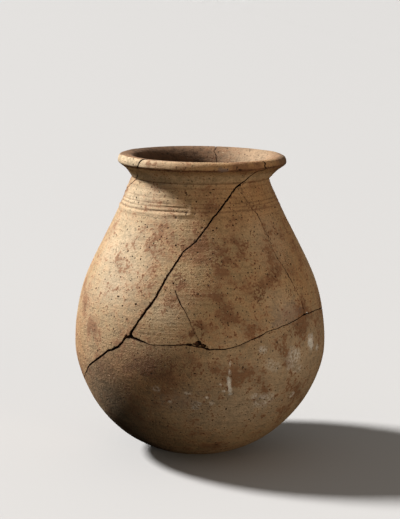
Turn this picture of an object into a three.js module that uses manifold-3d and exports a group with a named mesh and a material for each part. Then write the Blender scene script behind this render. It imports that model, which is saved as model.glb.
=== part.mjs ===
// A wheel-thrown earthenware bottle with a bag-shaped body, a flaring collar and a thick rolled lip.
// It was broken and put together again, and the joins between its sherds stay as open lines.
// Millimetres and degrees, +Z up. The origin is on the ground under the middle of the belly.
// Azimuth 0 faces the front, along -Y, and grows towards +X.

import * as THREE from "three";
import { mergeVertices } from "three/addons/utils/BufferGeometryUtils.js";
import Module from "manifold-3d";

// Driving dimensions of the pot, as it was turned.
const HEIGHT = 235;
const FOOT_RADIUS = 18;
const BELLY_RADIUS = 98.6;
const BELLY_HEIGHT = 87.6;
const NECK_RADIUS = 53.2;
const NECK_HEIGHT = 217.1;
const LIP_RADIUS = 65.3;
const LIP_HEIGHT = 230.3;
const CREST_RADIUS = 57.6;
const WALL = 6.8;
const FLOOR_THICKNESS = 9;

// How far it strays from true: the foot sits to the left, and the rim sits to the right and dips that way.
const FOOT_DRIFT = -2;
const FOOT_DRIFT_TOP = 85;
const RIM_DRIFT = 1.7;
const RIM_DRIFT_BAND = [210, 232];
const RIM_DIP = 0.9;
const RIM_DIP_BAND = [200, 215];

// Shallow rills were turned into the shoulder while it was wet, with a slight swell beside each.
const RILL_HEIGHTS = [197.4, 201.4, 204.8];
const RILL_DEPTH = 0.45;
const RILL_SWELL = 0.3;
const RILL_MARGIN = 2;

// How finely the round forms are cut into flats.
const SIDES = 60;
const LOWER_STEPS = 11;
const SHOULDER_STEPS = 10;
const LIP_STEPS = 4;
const INSIDE_STEPS = 7;

// The joins between sherds, as wedges cut into the wall.
// A station is [azimuth, height] on the outer wall, or [azimuth, height, "inside"] on the inner one.
const JOINS = [
  {
    // The long diagonal join, from inside the rim at the right down to the fork at the left.
    width: 1.8,
    depth: 3,
    stations: [
      [46, 226, "inside"], [46.5, HEIGHT], [47.3, 231], [47.6, 228.2], [40.3, 227.4], [38.8, 224],
      [33, 216.5], [25, 211], [9, 194], [-3, 177], [-9, 170.5], [-16.5, 154], [-21, 138], [-27, 124],
      [-32, 112], [-32, 109],
    ],
  },
  {
    // From the fork down to the left, and up again round the back.
    width: 2,
    depth: 3,
    stations: [
      [-32, 109], [-36, 103], [-41, 97.5], [-44.5, 95.3], [-49.5, 88.7], [-55, 83], [-59, 79], [-65, 72],
      [-77, 60], [-92, 54], [-108, 60], [-128, 84], [-150, 112],
    ],
  },
  {
    // From the fork to the right, right round the belly.
    width: 1.2,
    depth: 2.4,
    stations: [
      [-32, 109], [-23, 105], [-6, 106], [1, 104], [4, 102.5], [11, 102.5], [27, 109.7], [43, 115.6],
      [56, 119.5], [67, 119], [79, 116.7], [108, 108], [134, 114], [158, 107], [184, 113], [210, 112],
    ],
  },
  {
    // Over the rim at the left, across the collar and down the back.
    width: 1.2,
    depth: 2.2,
    stations: [
      [-44, 226, "inside"], [-45, HEIGHT], [-47.6, 231], [-48.6, 229], [-54.5, 224], [-61, 219],
      [-68.4, 215.8], [-77, 211], [-95, 200], [-112, 180], [-128, 158], [-142, 134], [-150, 112],
    ],
  },
  {
    // Over the rim at the back and down to the belly.
    width: 1.2,
    depth: 2.2,
    stations: [
      [168, 222, "inside"], [169, HEIGHT], [168, 226], [164, 215], [157, 190], [163, 165], [155, 140],
      [158, 107],
    ],
  },
  {
    // The finer join that parts the right of the shoulder.
    width: 0.9,
    depth: 1.2,
    stations: [
      [34, 216], [34.5, 209.5], [43, 194], [46, 178], [47, 162], [50.4, 150.4], [53, 139], [56, 119.5],
    ],
  },
  {
    // The short join in the middle of the belly.
    width: 0.9,
    depth: 1.4,
    stations: [[-12, 144], [-9.5, 136], [-4.6, 123], [0, 107]],
  },
];

// A cutter has a corner at least this often, three times as often over the lip, and stands proud of the wall.
const JOIN_STEP = 11;
const CUTTER_LIFT = 1;

// Clay lost where joins meet.
const CHIPS = [
  { azimuth: -0.4, height: 106, halfWidth: 5.4, halfHeight: 2.2, depth: 3 },
  { azimuth: -32, height: 109, halfWidth: 2.6, halfHeight: 1.7, depth: 3 },
];

const { degToRad, lerp, mapLinear, smoothstep } = THREE.MathUtils;

// The turned outline, radius against height: up the outside from the foot, over the lip and down the inside.
// crest is the number of its highest point.
const { profile, crest } = turnedOutline();

function turnedOutline() {
  const at = (radius, height) => new THREE.Vector2(radius, height);
  const bend = (steps, ...controls) => new THREE.CubicBezierCurve(...controls).getPoints(steps);

  const foot = at(FOOT_RADIUS, 0);
  const belly = at(BELLY_RADIUS, BELLY_HEIGHT);
  const neck = at(NECK_RADIUS, NECK_HEIGHT);
  const lowerWall = bend(LOWER_STEPS, foot, at(72, 7.3), at(BELLY_RADIUS, 60), belly);
  const shoulder = bend(SHOULDER_STEPS, belly, at(BELLY_RADIUS, 141.8), at(72.9, 165.3), neck);
  const outside = withRills([...lowerWall, ...shoulder.slice(1)]);

  // The collar flares up to the lower edge of the lip, which is rolled over and rounded on top.
  const lip = [at(59.2, 224.3), at(62, 226.6), at(64.4, 228.6)];
  for (let i = 0; i <= LIP_STEPS; i++) {
    const turn = (i / LIP_STEPS) * (Math.PI / 2);
    const radius = lerp(CREST_RADIUS, LIP_RADIUS, Math.cos(turn));
    lip.push(at(radius, lerp(LIP_HEIGHT, HEIGHT, Math.sin(turn))));
  }

  const mouth = [at(54.2, 233.4), at(50.6, 229.2), at(47.6, 222.8)];
  const innerNeck = at(NECK_RADIUS - WALL, NECK_HEIGHT - 1);
  const innerBelly = at(BELLY_RADIUS - WALL, BELLY_HEIGHT);
  const innerFloor = at(0, FLOOR_THICKNESS);
  const innerShoulder = bend(INSIDE_STEPS, innerNeck, at(66.8, 164), at(innerBelly.x, 139), innerBelly);
  const innerBowl = bend(INSIDE_STEPS, innerBelly, at(innerBelly.x, 60), at(60, FLOOR_THICKNESS), innerFloor);

  return {
    profile: [...outside, ...lip, ...mouth, ...innerShoulder, ...innerBowl.slice(1)],
    crest: outside.length + lip.length - 1,
  };
}

// Puts the rills into a rising outline: a dip at each, and a swell before, between and after them.
function withRills(outline) {
  const [lowest, highest] = [RILL_HEIGHTS[0] - RILL_MARGIN, RILL_HEIGHTS.at(-1) + RILL_MARGIN];
  const worked = [[lowest, RILL_SWELL]];
  RILL_HEIGHTS.forEach((height, i) => {
    const next = RILL_HEIGHTS[i + 1];
    worked.push([height, -RILL_DEPTH]);
    worked.push([next ? (height + next) / 2 : highest, RILL_SWELL]);
  });
  return [
    ...outline.filter((point) => point.y < lowest - RILL_MARGIN),
    ...worked.map(([height, relief]) => new THREE.Vector2(radiusAt(outline, height) + relief, height)),
    ...outline.filter((point) => point.y > highest + RILL_MARGIN),
  ];
}

function radiusAt(outline, height) {
  const i = outline.findIndex((point) => point.y >= height);
  const [below, above] = [outline[i - 1], outline[i]];
  return mapLinear(height, below.y, above.y, below.x, above.x);
}

// Moves a point of the true, turned pot to its place on the slightly crooked real one.
function settle(point) {
  const low = Math.max(0, 1 - point.z / FOOT_DRIFT_TOP);
  const drift = FOOT_DRIFT * low * low + RIM_DRIFT * smoothstep(point.z, ...RIM_DRIFT_BAND);
  const dip = smoothstep(point.z, ...RIM_DIP_BAND) * Math.tan(degToRad(RIM_DIP));
  return point.set(point.x + drift, point.y, point.z - point.x * dip);
}

function settleGeometry(geometry) {
  const position = geometry.getAttribute("position");
  for (let i = 0; i < position.count; i++) {
    const point = settle(new THREE.Vector3().fromBufferAttribute(position, i));
    position.setXYZ(i, ...point.toArray());
  }
  return geometry;
}

function turnedPot() {
  const closedOutline = [new THREE.Vector2(0, 0), ...profile];
  return settleGeometry(new THREE.LatheGeometry(closedOutline, SIDES).rotateX(Math.PI / 2));
}

// How far along the outline each of its points lies, so that one number, the run, names a place on it.
const runs = [0];
for (let i = 1; i < profile.length; i++) {
  runs.push(runs[i - 1] + profile[i].distanceTo(profile[i - 1]));
}
const neckRun = runAt(NECK_HEIGHT);
const mouthRun = runs[crest + 3];

// The run of a height on the outer or the inner wall.
function runAt(height, side) {
  const [first, last] = side === "inside" ? [crest, profile.length - 1] : [0, crest];
  for (let i = first; i < last; i++) {
    const share = (height - profile[i].y) / (profile[i + 1].y - profile[i].y);
    if (share >= 0 && share <= 1) return lerp(runs[i], runs[i + 1], share);
  }
  return runs[crest];
}

function pointAt(run) {
  const i = Math.max(1, runs.findIndex((reached) => reached >= run));
  return profile[i - 1].clone().lerp(profile[i], mapLinear(run, runs[i - 1], runs[i], 0, 1));
}

// A point of the wall in the round, and the way out of the clay there, eased over the edges between flats.
function wallAt(azimuth, run) {
  const ease = 1.5;
  const along = pointAt(run + ease).sub(pointAt(run - ease)).normalize();
  const outwards = new THREE.Vector3(Math.sin(degToRad(azimuth)), -Math.cos(degToRad(azimuth)), 0);
  const inTheRound = (radial, up) => outwards.clone().multiplyScalar(radial).setZ(up);
  const spot = pointAt(run);
  return { place: inTheRound(spot.x, spot.y), out: inTheRound(along.y, -along.x) };
}

// The stations of a join, with even steps put in between them.
function steppedPath(stations) {
  const ends = stations.map(([azimuth, height, side]) => ({ azimuth, run: runAt(height, side) }));
  const path = [wallAt(ends[0].azimuth, ends[0].run)];
  for (let i = 1; i < ends.length; i++) {
    const [from, to] = [ends[i - 1], ends[i]];
    const radius = pointAt((from.run + to.run) / 2).x;
    const length = Math.hypot(degToRad(to.azimuth - from.azimuth) * radius, to.run - from.run);
    const overLip = Math.max(from.run, to.run) > neckRun && Math.min(from.run, to.run) < mouthRun;
    const steps = Math.ceil(length / (overLip ? JOIN_STEP / 3 : JOIN_STEP));
    for (let step = 1; step <= steps; step++) {
      const share = step / steps;
      path.push(wallAt(lerp(from.azimuth, to.azimuth, share), lerp(from.run, to.run, share)));
    }
  }
  return path;
}

// A closed wedge that follows a join, with its edge in the clay.
function joinCutter({ width, depth, stations }) {
  const path = steppedPath(stations);
  const halfWidth = (width / 2) * (1 + CUTTER_LIFT / depth);
  const corners = [[halfWidth, CUTTER_LIFT], [-halfWidth, CUTTER_LIFT], [0, -depth]];
  const positions = [];
  path.forEach(({ place, out }, i) => {
    const next = path[Math.min(i + 1, path.length - 1)].place;
    const last = path[Math.max(i - 1, 0)].place;
    const across = next.clone().sub(last).cross(out).normalize();
    for (const [sideways, up] of corners) {
      const corner = place.clone().addScaledVector(across, sideways).addScaledVector(out, up);
      positions.push(...settle(corner).toArray());
    }
  });

  const faces = [0, 1, 2];
  for (let i = 0; i + 1 < path.length; i++) {
    for (let k = 0; k < 3; k++) {
      const [a, b] = [3 * i + k, 3 * i + ((k + 1) % 3)];
      faces.push(a, b + 3, b, a, a + 3, b + 3);
    }
  }
  const end = 3 * (path.length - 1);
  faces.push(end, end + 2, end + 1);

  const geometry = new THREE.BufferGeometry();
  geometry.setAttribute("position", new THREE.Float32BufferAttribute(positions, 3));
  geometry.setIndex(faces);
  return geometry;
}

// A rough lump, sunk in the wall, that takes out a chip.
function chipCutter({ azimuth, height, halfWidth, halfHeight, depth }) {
  const { place, out } = wallAt(azimuth, runAt(height));
  const sideways = new THREE.Vector3(0, 0, 1).cross(out).normalize();
  const upwards = out.clone().cross(sideways);
  const onTheWall = new THREE.Matrix4().makeBasis(sideways, upwards, out).setPosition(place);
  const lump = new THREE.IcosahedronGeometry(1, 0).scale(halfWidth, halfHeight, depth);
  return settleGeometry(lump.applyMatrix4(onTheWall));
}

const wasm = await Module();
wasm.setup();

function solidOf(geometry) {
  const bare = geometry.clone();
  bare.deleteAttribute("normal");
  bare.deleteAttribute("uv");
  const merged = mergeVertices(bare, 1e-3);
  return new wasm.Manifold(
    new wasm.Mesh({
      numProp: 3,
      vertProperties: merged.getAttribute("position").array,
      triVerts: new Uint32Array(merged.index.array),
    }),
  );
}

function geometryOf(solid) {
  const mesh = solid.getMesh();
  const geometry = new THREE.BufferGeometry();
  geometry.setAttribute("position", new THREE.BufferAttribute(mesh.vertProperties, 3));
  geometry.setIndex(new THREE.BufferAttribute(mesh.triVerts, 1));
  geometry.computeVertexNormals();
  return geometry;
}

const cutters = [...JOINS.map(joinCutter), ...CHIPS.map(chipCutter)];
const mendedPot = cutters.reduce((pot, cutter) => pot.subtract(solidOf(cutter)), solidOf(turnedPot()));

const firedClay = new THREE.MeshStandardMaterial({ color: 0xc9a67a, roughness: 0.9, metalness: 0 });
const bottle = new THREE.Mesh(geometryOf(mendedPot), firedClay);
bottle.name = "bottle";

const model = new THREE.Group();
model.add(bottle);

export default model;
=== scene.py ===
"""The looks of a wheel-thrown earthenware bottle that was broken and put together again.

Distances are in metres unless a name or a note says millimetres. Azimuths are in degrees, 0 at the front,
along -Y, and growing towards +X. Heights are given in millimetres above the ground.
"""

import bisect
import math
import random

import bmesh
import bpy
from mathutils import Matrix, Vector, kdtree, noise
from mathutils.geometry import interpolate_bezier


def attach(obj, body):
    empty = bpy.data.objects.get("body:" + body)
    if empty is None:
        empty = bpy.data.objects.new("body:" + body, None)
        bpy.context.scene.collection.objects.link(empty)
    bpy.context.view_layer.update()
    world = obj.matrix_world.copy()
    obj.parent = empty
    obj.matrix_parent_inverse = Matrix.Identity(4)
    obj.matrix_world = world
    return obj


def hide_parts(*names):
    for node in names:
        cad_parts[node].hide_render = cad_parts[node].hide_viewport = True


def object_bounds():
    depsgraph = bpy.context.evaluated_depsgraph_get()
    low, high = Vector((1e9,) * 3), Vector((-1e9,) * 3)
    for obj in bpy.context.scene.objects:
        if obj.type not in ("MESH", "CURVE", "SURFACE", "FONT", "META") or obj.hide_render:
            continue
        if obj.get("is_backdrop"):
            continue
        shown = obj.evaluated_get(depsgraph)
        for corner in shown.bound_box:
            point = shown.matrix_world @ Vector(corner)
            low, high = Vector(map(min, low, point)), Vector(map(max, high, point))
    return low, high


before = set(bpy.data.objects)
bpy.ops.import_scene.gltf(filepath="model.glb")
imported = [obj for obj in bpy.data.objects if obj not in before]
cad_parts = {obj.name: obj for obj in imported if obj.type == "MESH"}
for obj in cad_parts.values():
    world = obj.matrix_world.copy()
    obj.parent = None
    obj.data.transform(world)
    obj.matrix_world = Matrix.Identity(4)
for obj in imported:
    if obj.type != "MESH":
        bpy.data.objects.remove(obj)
cad_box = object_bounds()

MM = 0.001

# Driving dimensions of the pot, in millimetres: (radius, height) where the wall changes its run.
FOOT = (18, 0)
BELLY = (98.6, 87.6)
NECK = (53.2, 217.1)
COLLAR_TOP = (59.2, 224.3)
LIP = (65.3, 229.7)
CREST = (61.5, 235)
MOUTH = (47.6, 222.8)
WALL = 6.8
FLOOR_THICKNESS = 9
INNER_NECK = (NECK[0] - WALL, NECK[1] - 1)
INNER_BELLY = (BELLY[0] - WALL, BELLY[1])

# How far it strays from true, in millimetres and degrees.
FOOT_DRIFT, FOOT_DRIFT_TOP = -2, 85
RIM_DRIFT, RIM_DRIFT_BAND = 1.7, (210, 232)
RIM_DIP, RIM_DIP_BAND = 0.9, (200, 215)

# Rills and grooves turned into the neck and shoulder: (height, relief, half width) in millimetres.
RILLS = [
    (193.0, -0.12, 0.8), (195.8, 0.42, 1.0), (197.6, -0.45, 0.6), (199.1, 0.22, 0.8), (200.7, -0.36, 0.5),
    (201.9, 0.16, 0.6), (203.2, -0.32, 0.5), (205.3, 0.26, 0.9), (206.9, -0.2, 0.6), (209.2, 0.18, 0.9),
    (211.2, -0.16, 0.6), (214.0, -0.18, 0.5), (217.5, -0.3, 0.5), (218.6, 0.22, 0.7), (221.8, -0.14, 0.6),
]
RILLED_ABOVE = 190

# A small upright tick over the rills at the front, and a faint scored line under them.
TICK_AZIMUTH = -6.4
TICK_RISE = 0.85
TICK_HALF_WIDTH = 0.9
TICK_FOOT, TICK_HEAD = (195, 197), (205, 207)
SCORED_LEVEL = 174
SCORED_FALL = 0.02
SCORED_DEPTH = 0.3
SCORED_HALF_WIDTH = 0.9
SCORED_START, SCORED_END = (-3, 1), (10, 15)

# The rolled lip swells inwards at the sides, more at the left than at the right.
SWELL_LEFT, SWELL_RIGHT = 1.05, 0.6
SWELL_REACH, SWELL_HALF_WIDTH = 54, 3

SIDES = 360
SHARP_ANGLE = 38

# The joins between sherds. A station is (azimuth, height, width of the gap) on the outside, in degrees and
# millimetres, or the same with "inside" after it. A join's depth is in millimetres too.
JOINS = {
    "long diagonal": dict(
        depth=4.2, stations=[
            (46, 214, 0.9, "inside"), (46, 230, 1.0, "inside"), (45.2, 235, 1.0), (46.9, 232.8, 1.15),
            (45.2, 231.3, 1.0), (47.0, 229.5, 1.15), (46.2, 228.0, 0.9), (40.2, 227.5, 0.9),
            (39.6, 226.0, 1.4), (38.9, 223.8, 1.5), (36.9, 219.8, 1.4), (33.4, 216.9, 1.3),
            (29.3, 214.8, 1.1), (24.7, 210.9, 1.0), (20.2, 205.9, 1.0), (8.8, 194.1, 1.0),
            (-3.3, 176.6, 1.05), (-9.4, 170.5, 1.05), (-16.5, 154.1, 1.15), (-21.3, 137.6, 1.3),
            (-27.1, 123.7, 1.7), (-30.3, 115.2, 2.0), (-31.8, 112.0, 2.1), (-31.8, 108.7, 2.1),
        ]),
    "lower left": dict(
        depth=4.2, stations=[
            (-31.8, 108.7, 2.2), (-34.4, 107.9, 2.0), (-36.0, 103.5, 1.9), (-38.3, 99.7, 1.9),
            (-42.1, 96.4, 2.0), (-44.4, 95.4, 2.1), (-47.6, 91.0, 1.9), (-52.2, 86.3, 1.8),
            (-59.3, 79.0, 1.5), (-61.9, 75.9, 1.3), (-64.9, 71.8, 1.0), (-77, 60, 0.9), (-92, 54, 1.0),
            (-108, 60, 1.1), (-128, 84, 1.3), (-150, 112, 1.5),
        ]),
    "round the belly": dict(
        depth=3.4, stations=[
            (-31.8, 108.7, 2.2), (-29.0, 107.5, 1.9), (-25.2, 106.1, 1.1), (-22.0, 104.4, 0.7),
            (-12.9, 105.0, 0.65), (-5.2, 106.2, 0.8), (-2.9, 105.3, 1.0), (0.3, 104.4, 1.1),
            (2.9, 102.9, 1.1), (4.1, 102.5, 0.8), (10.9, 102.5, 0.8), (16.1, 104.0, 0.6),
            (21.8, 107.6, 0.65), (26.8, 109.7, 1.0), (30.4, 112.3, 0.55), (43.1, 115.6, 0.6),
            (52.0, 118.1, 0.7), (55.4, 119.2, 1.2), (61.4, 119.0, 0.6), (67.4, 118.9, 0.6),
            (78.6, 116.7, 0.8), (97, 109.5, 0.9), (108, 108, 0.8), (121, 113, 0.9), (134, 114, 0.8),
            (147, 108.5, 0.9), (158, 107, 1.0), (171, 112, 0.8), (184, 113, 0.9), (199, 109, 1.0),
            (210, 112, 1.3),
        ]),
    "left of the rim": dict(
        depth=3.2, stations=[
            (-38, 214, 0.7, "inside"), (-39, 230, 0.9, "inside"), (-42.3, 235, 1.5), (-45, 234.3, 1.6),
            (-46.5, 232.3, 1.4), (-48, 229.5, 0.8), (-52.9, 225.3, 0.2), (-57.7, 221.6, 0.2),
            (-62.8, 218.6, 0.3), (-68.4, 215.8, 0.45), (-77.3, 211.2, 0.5), (-88, 205, 0.6),
            (-95, 200, 0.7), (-103, 189, 0.8), (-112, 180, 0.8), (-121, 169, 0.9), (-128, 158, 0.9),
            (-136, 144, 1.0), (-142, 134, 1.1), (-150, 112, 1.4),
        ]),
    "back of the rim": dict(
        depth=3.2, stations=[
            (165, 212, 0.5, "inside"), (165.3, 224, 0.45, "inside"), (167.1, 228.5, 0.45, "inside"),
            (169.8, 231.9, 0.5, "inside"), (168.3, 233.7, 0.5, "inside"), (169.5, 235, 0.6),
            (168, 226, 0.8), (164, 215, 0.8), (160, 203, 0.8), (157, 190, 0.8), (161, 176, 0.9),
            (163, 165, 0.8), (158, 151, 0.9), (155, 140, 0.8), (157, 122, 1.0), (158, 107, 1.2),
        ]),
    "right of the shoulder": dict(
        depth=0.9, stations=[
            (33.8, 215.8, 0.2), (34.8, 213.5, 0.2), (34.4, 209.8, 0.2), (39.7, 198.6, 0.22),
            (42.9, 194.6, 0.5), (43.7, 190.8, 0.45), (44.5, 187.0, 0.4), (44.6, 183.6, 0.25),
            (46.1, 178.1, 0.35), (45.9, 170.8, 0.2), (47.1, 162.1, 0.3), (50.3, 152.2, 0.3),
            (50.8, 149.6, 0.8), (51.9, 145.9, 0.6), (53.1, 139.0, 0.2), (54.9, 131.9, 0.2),
            (55.8, 126.0, 0.7), (56.2, 122.7, 0.7), (55.5, 119.7, 0.8),
        ]),
    "middle of the belly": dict(
        depth=1.4, stations=[
            (-12, 144, 0.12), (-11.3, 141.8, 0.16), (-10.2, 138.0, 0.28), (-9.5, 136.0, 0.65),
            (-8.4, 133.3, 0.3), (-6.5, 129.1, 0.25), (-4.6, 123.2, 0.55), (-3.7, 118.8, 0.25),
            (-1.7, 113.2, 0.25), (-0.1, 108.2, 0.4),
        ]),
}
# The steps along a join, how many of them its jags take to die away at its ends, the share of its width that
# is left at its bottom, and how far a cutter stands out of the wall. Lengths are in millimetres.
JOIN_STEP = 1.6
JOIN_FADE_STEPS = 4
JOIN_BOTTOM_SHARE = 0.45
CUTTER_LIFT = 1.2

# Clay lost where joins meet: (azimuth, height, half width, half height, depth) in degrees and millimetres.
CHIPS = [
    (-0.9, 107.0, 3.0, 2.1, 3.2), (1.4, 105.4, 2.3, 1.5, 2.6), (-4.6, 106.0, 2.6, 1.0, 1.8),
    (-31.6, 109.0, 2.2, 1.5, 3.2), (-28.6, 107.5, 2.0, 1.1, 2.6), (-34.2, 109.5, 0.7, 0.9, 1.6),
    (3.1, 103.1, 1.2, 1.0, 1.8), (26.8, 109.6, 1.1, 0.9, 1.6), (55.4, 119.2, 1.4, 0.9, 1.6),
    (55.9, 124.5, 0.5, 1.6, 0.9), (8.8, 194.1, 0.8, 0.7, 1.2), (-17.0, 153.6, 0.8, 0.9, 1.2),
    (46.6, 233.0, 1.1, 0.8, 0.9), (25.6, 229.4, 1.7, 0.6, 1.1), (-150, 112, 2.6, 2.0, 2.6),
    (158, 107, 2.2, 1.8, 2.4), (168, 226, 1.6, 1.4, 1.6),
]

# Pits that show from a step away: (azimuth, height, half width, half height) in degrees and millimetres.
PITS = [
    (-30.8, 132.3, 1.3, 0.8), (-34, 163.5, 0.6, 1.0), (-55.3, 205, 0.8, 0.7), (-41.7, 213.5, 0.9, 0.6),
    (10.4, 214.0, 1.3, 0.5), (18.6, 88.4, 0.9, 0.8), (21.4, 148.3, 0.6, 0.6), (34.7, 145.8, 0.8, 0.9),
    (41.1, 150.2, 0.7, 0.9), (27.5, 31, 1.0, 0.7), (12.5, 55.4, 0.8, 1.2), (-60.9, 137.3, 1.0, 0.9),
    (-14.2, 174.7, 0.9, 0.8), (21.7, 188.2, 0.8, 0.7), (7.9, 179.5, 0.8, 0.6), (-30.4, 143.8, 0.6, 0.9),
    (51.0, 149.0, 0.7, 1.9), (43.2, 194.1, 0.7, 1.0), (46.4, 178.1, 0.6, 0.9), (47.2, 162.1, 0.8, 0.8),
]
MARKED_PIT_DEPTH = 0.7

# Smaller pits strewn over the wall, in millimetres.
STREWN_PITS = 110
STREWN_SEED = 11
STREWN_SIZES = (0.45, 0.85)
STREWN_HEIGHTS = (25, 215)
STREWN_LENGTHENING = (0.8, 1.7)
STREWN_DEPTH = 0.6

# How rough chips and pits are, and the depth in millimetres above which a lump is cut finely.
CHIP_ROUGHNESS, PIT_ROUGHNESS = 0.5, 0.4
DEEP_LUMP = 1.1


# The outline, and places on the wall.

def bend(spacing, *controls):
    """The points, about spacing millimetres apart, of a curve with these (radius, height) controls."""
    corners = [Vector((radius, 0, height)) * MM for radius, height in controls]
    rough = interpolate_bezier(*corners, 24)
    length = sum((b - a).length for a, b in zip(rough, rough[1:]))
    return interpolate_bezier(*corners, max(3, round(length / (spacing * MM)) + 1))


def turned_outline():
    """The outline, radius in x and height in z: up the outside to the lip's crest, and down the inside."""
    shoulder = bend(0.8, BELLY, (BELLY[0], 141.8), (72.9, 165.3), NECK)
    outside = [
        [Vector((0, 0, 0)), Vector((FOOT[0] / 2 * MM, 0, 0))],
        bend(2.2, FOOT, (72, 7.3), (BELLY[0], 60), BELLY),
        [point for i, point in enumerate(shoulder) if point.z > RILLED_ABOVE * MM or i % 3 == 0],
        bend(1.3, NECK, (54.9, 219.6), (57.2, 222.4), COLLAR_TOP),
        bend(0.9, COLLAR_TOP, (62.2, 226.8), (LIP[0], 228.0), LIP),
        bend(0.95, LIP, (LIP[0], 232.4), (64.2, CREST[1]), CREST),
    ]
    inside = [
        bend(1.3, CREST, (56.5, CREST[1]), (51.5, 232.4), MOUTH),
        bend(1.7, MOUTH, (47.0, 220.9), (46.6, 218.6), INNER_NECK),
        bend(4.2, INNER_NECK, (66.8, 164), (INNER_BELLY[0], 139), INNER_BELLY),
        bend(5.5, INNER_BELLY, (INNER_BELLY[0], 60), (60, FLOOR_THICKNESS), (0, FLOOR_THICKNESS)),
    ]
    crest = sum(len(stretch) - 1 for stretch in outside[1:]) + 2
    points = outside[0] + outside[1]
    for stretch in outside[2:] + inside:
        points += stretch[1:]
    return points, crest


outline, crest = turned_outline()
runs = [0.0]
for lower, upper in zip(outline, outline[1:]):
    runs.append(runs[-1] + (upper - lower).length)


def run_at(height, side="outside"):
    """How far along the outline the wall reaches a height in millimetres."""
    steps = range(2, crest) if side == "outside" else range(crest, len(outline) - 1)
    for i in steps:
        rise = outline[i + 1].z - outline[i].z
        share = (height * MM - outline[i].z) / rise if rise else -1
        if 0 <= share <= 1:
            return runs[i] + share * (runs[i + 1] - runs[i])
    return runs[crest]


def outline_at(run):
    """The point of the outline at a run along it."""
    i = next((i for i, reached in enumerate(runs) if reached >= run and i), len(runs) - 1)
    return outline[i - 1].lerp(outline[i], (run - runs[i - 1]) / (runs[i] - runs[i - 1]))


def wall_at(azimuth, run):
    """A point of the wall in the round, the way out of the clay there, and the way round the pot."""
    ease = 1.2 * MM
    along = (outline_at(run + ease) - outline_at(run - ease)).normalized()
    turned = Matrix.Rotation(math.radians(azimuth - 90), 3, "Z")
    return turned @ outline_at(run), turned @ Vector((along.z, 0, -along.x)), turned @ Vector((0, 1, 0))


def smoothstep(value, low, high):
    share = min(1, max(0, (value - low) / (high - low)))
    return share * share * (3 - 2 * share)


def within(value, rise, fall):
    """1 in a band and 0 outside it, with a soft start over rise and a soft end over fall."""
    return smoothstep(value, *rise) * (1 - smoothstep(value, *fall))


def settle(point):
    """Moves a point of the true, turned pot to its place on the slightly crooked real one."""
    height = point.z / MM
    low = max(0, 1 - height / FOOT_DRIFT_TOP)
    drift = FOOT_DRIFT * low * low + RIM_DRIFT * smoothstep(height, *RIM_DRIFT_BAND)
    dip = smoothstep(height, *RIM_DIP_BAND) * math.tan(math.radians(RIM_DIP))
    return Vector((point.x + drift * MM, point.y, point.z - point.x * dip))


def azimuth_of(point):
    return math.degrees(math.atan2(point.x, -point.y))


def bell(value, half_width):
    return math.exp(-(value / half_width) ** 2)


def uneven(point, size, seed=0):
    """Smooth noise from -1 to 1 with features of about that size in millimetres."""
    return noise.noise(point / (size * MM) + Vector((0, 0, 37.3 * seed)))


def swell_of_the_lip(point):
    """How far the rolled lip swells inwards at the sides, in millimetres. It is fattest at the left."""
    azimuth, reach = azimuth_of(point), math.hypot(point.x, point.y) / MM
    at_the_sides = within(abs(azimuth), (20, 55), (115, 150))
    fullness = SWELL_RIGHT if azimuth > 0 else SWELL_LEFT
    across = bell(reach - SWELL_REACH, SWELL_HALF_WIDTH)
    return fullness * at_the_sides * across * smoothstep(point.z / MM, 228, 231)


def rills_at(point, azimuth, height):
    """The relief of each rill. They come and go, and are deepest left of the front, as far as the tick."""
    bold = within(azimuth, (-150, -95), (-8, -5)) * 0.5 + 0.5
    level_point = Vector((point.x, point.y, 0))
    for i, (level, rise, half) in enumerate(RILLS if height > RILLED_ABOVE else ()):
        wander = 0.45 * uneven(level_point, 60, 3) + 0.3 * uneven(level_point, 24, i)
        comes_and_goes = 0.9 + 1.2 * uneven(level_point, 22, i + 20)
        yield bold * rise * max(0.2, comes_and_goes) * bell(height - level - wander, half)


def tick_at(azimuth, height):
    across = math.radians(azimuth - TICK_AZIMUTH) * NECK[0]
    return TICK_RISE * bell(across, TICK_HALF_WIDTH) * within(height, TICK_FOOT, TICK_HEAD)


def scored_line_at(azimuth, height):
    below = height - SCORED_LEVEL + SCORED_FALL * azimuth
    return SCORED_DEPTH * bell(below, SCORED_HALF_WIDTH) * within(azimuth, SCORED_START, SCORED_END)


def outer_relief(point):
    """How far the worked surface stands out of the true outline, in millimetres."""
    azimuth, height = azimuth_of(point), point.z / MM

    # The wall wavers, less at the belly, which is set back a little, and has soft level ridges above it.
    belly = within(height, (40, 70), (110, 140))
    relief = 0.4 * uneven(point, 55) * (1 - 0.5 * belly) + 0.16 * uneven(point, 17, 1) - 0.35 * belly
    levelled = Vector((point.x / 6, point.y / 6, point.z))
    relief += 0.12 * uneven(levelled, 5, 2) * smoothstep(height, 90, 150)
    relief *= within(height, (0.5, 12), (223, 226))

    for rill in rills_at(point, azimuth, height):
        relief += rill
    relief += tick_at(azimuth, height)
    relief -= scored_line_at(azimuth, height)

    # The lip was pinched and wiped, so its edge wavers, and it is lower at the back.
    waver = 0.1 + 0.5 * max(0, uneven(point, 13, 11)) + 0.9 * smoothstep(abs(azimuth), 110, 170)
    return relief - smoothstep(height, 224, 228) * waver


def inner_relief(point):
    """The finger ridges left inside, in millimetres."""
    height = point.z / MM
    climb = height / 9 + azimuth_of(point) / 360
    ridges = 0.45 * math.sin(2 * math.pi * climb) + 0.4 * uneven(point, 25, 4)
    worn = 0.1 * smoothstep(height, 228, 233)
    return ridges * (1 - smoothstep(height, 205, 222)) + swell_of_the_lip(point) - worn


# The pot and what is cut out of it.

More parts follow.
